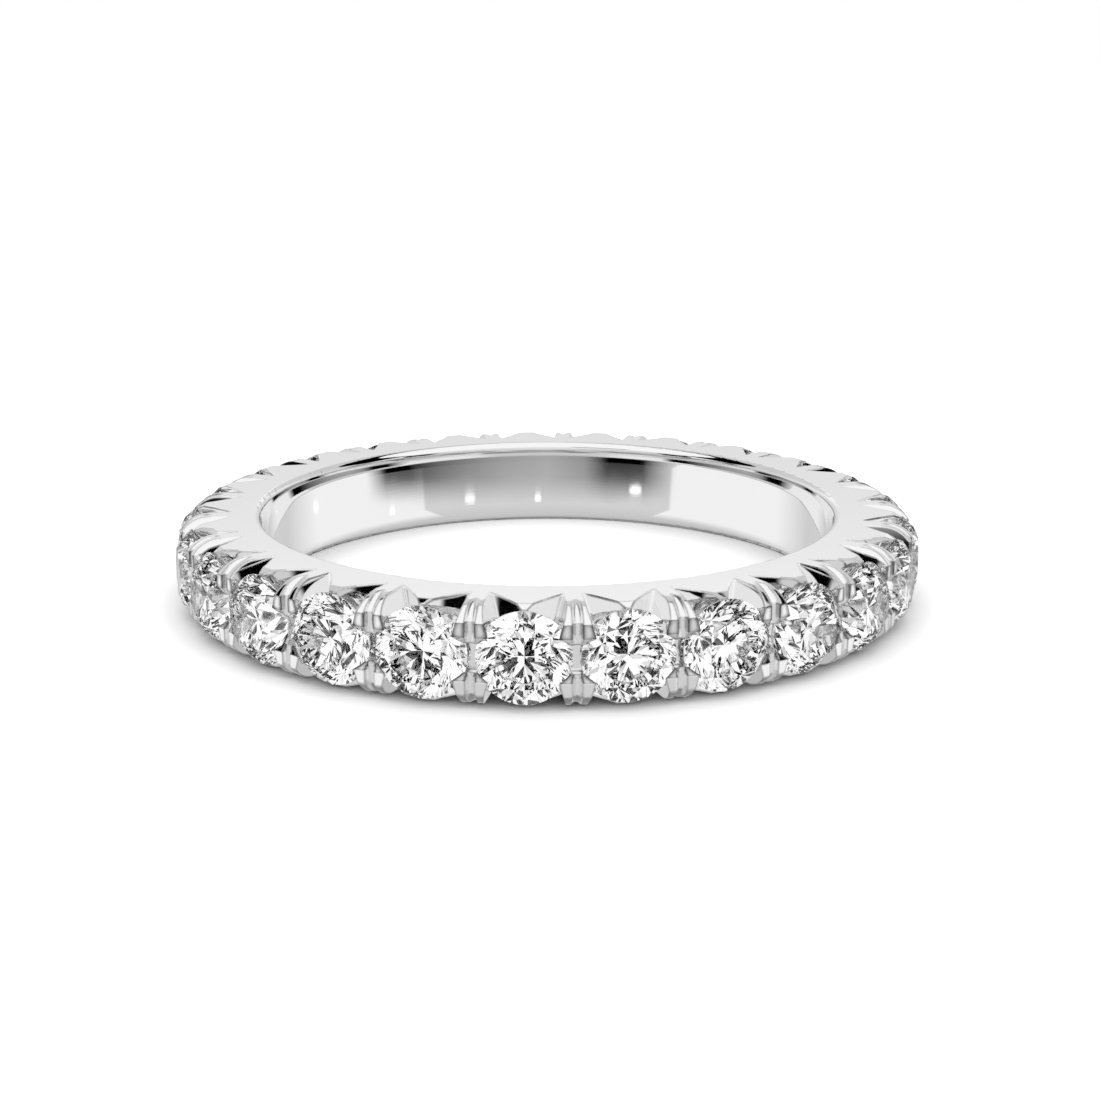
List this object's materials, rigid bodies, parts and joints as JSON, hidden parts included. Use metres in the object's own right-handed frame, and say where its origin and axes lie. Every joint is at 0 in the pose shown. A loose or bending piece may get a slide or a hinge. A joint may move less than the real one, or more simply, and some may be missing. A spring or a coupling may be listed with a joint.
{
  "type": "eternity ring",
  "caption": "Eternity ring: a flat-sided polished band with a full circle of round brilliant stones, held between neighbours by shared split prongs.",
  "frame": {"origin": "bottom centre of the ring as it lies on its side, on the finger axis", "axes": "+Z along the finger axis, from the lower to the upper side face; -Y points at the middle of the first stone"},
  "size_m": [0.0226, 0.0226, 0.0028],
  "materials": {
    "polished_metal": "mirror polished white gold",
    "stone": "cut and polished, clear"
  },
  "bodies": {
    "root": {"band": "polished_metal", "stone_01": "stone", "stone_02": "stone", "stone_03": "stone", "stone_04": "stone", "stone_05": "stone", "stone_06": "stone", "stone_07": "stone", "stone_08": "stone", "stone_09": "stone", "stone_10": "stone", "stone_11": "stone", "stone_12": "stone", "stone_13": "stone", "stone_14": "stone", "stone_15": "stone", "stone_16": "stone", "stone_17": "stone", "stone_18": "stone", "stone_19": "stone", "stone_20": "stone", "stone_21": "stone", "stone_22": "stone", "stone_23": "stone", "stone_24": "stone", "stone_25": "stone"}
  },
  "joints": []
}
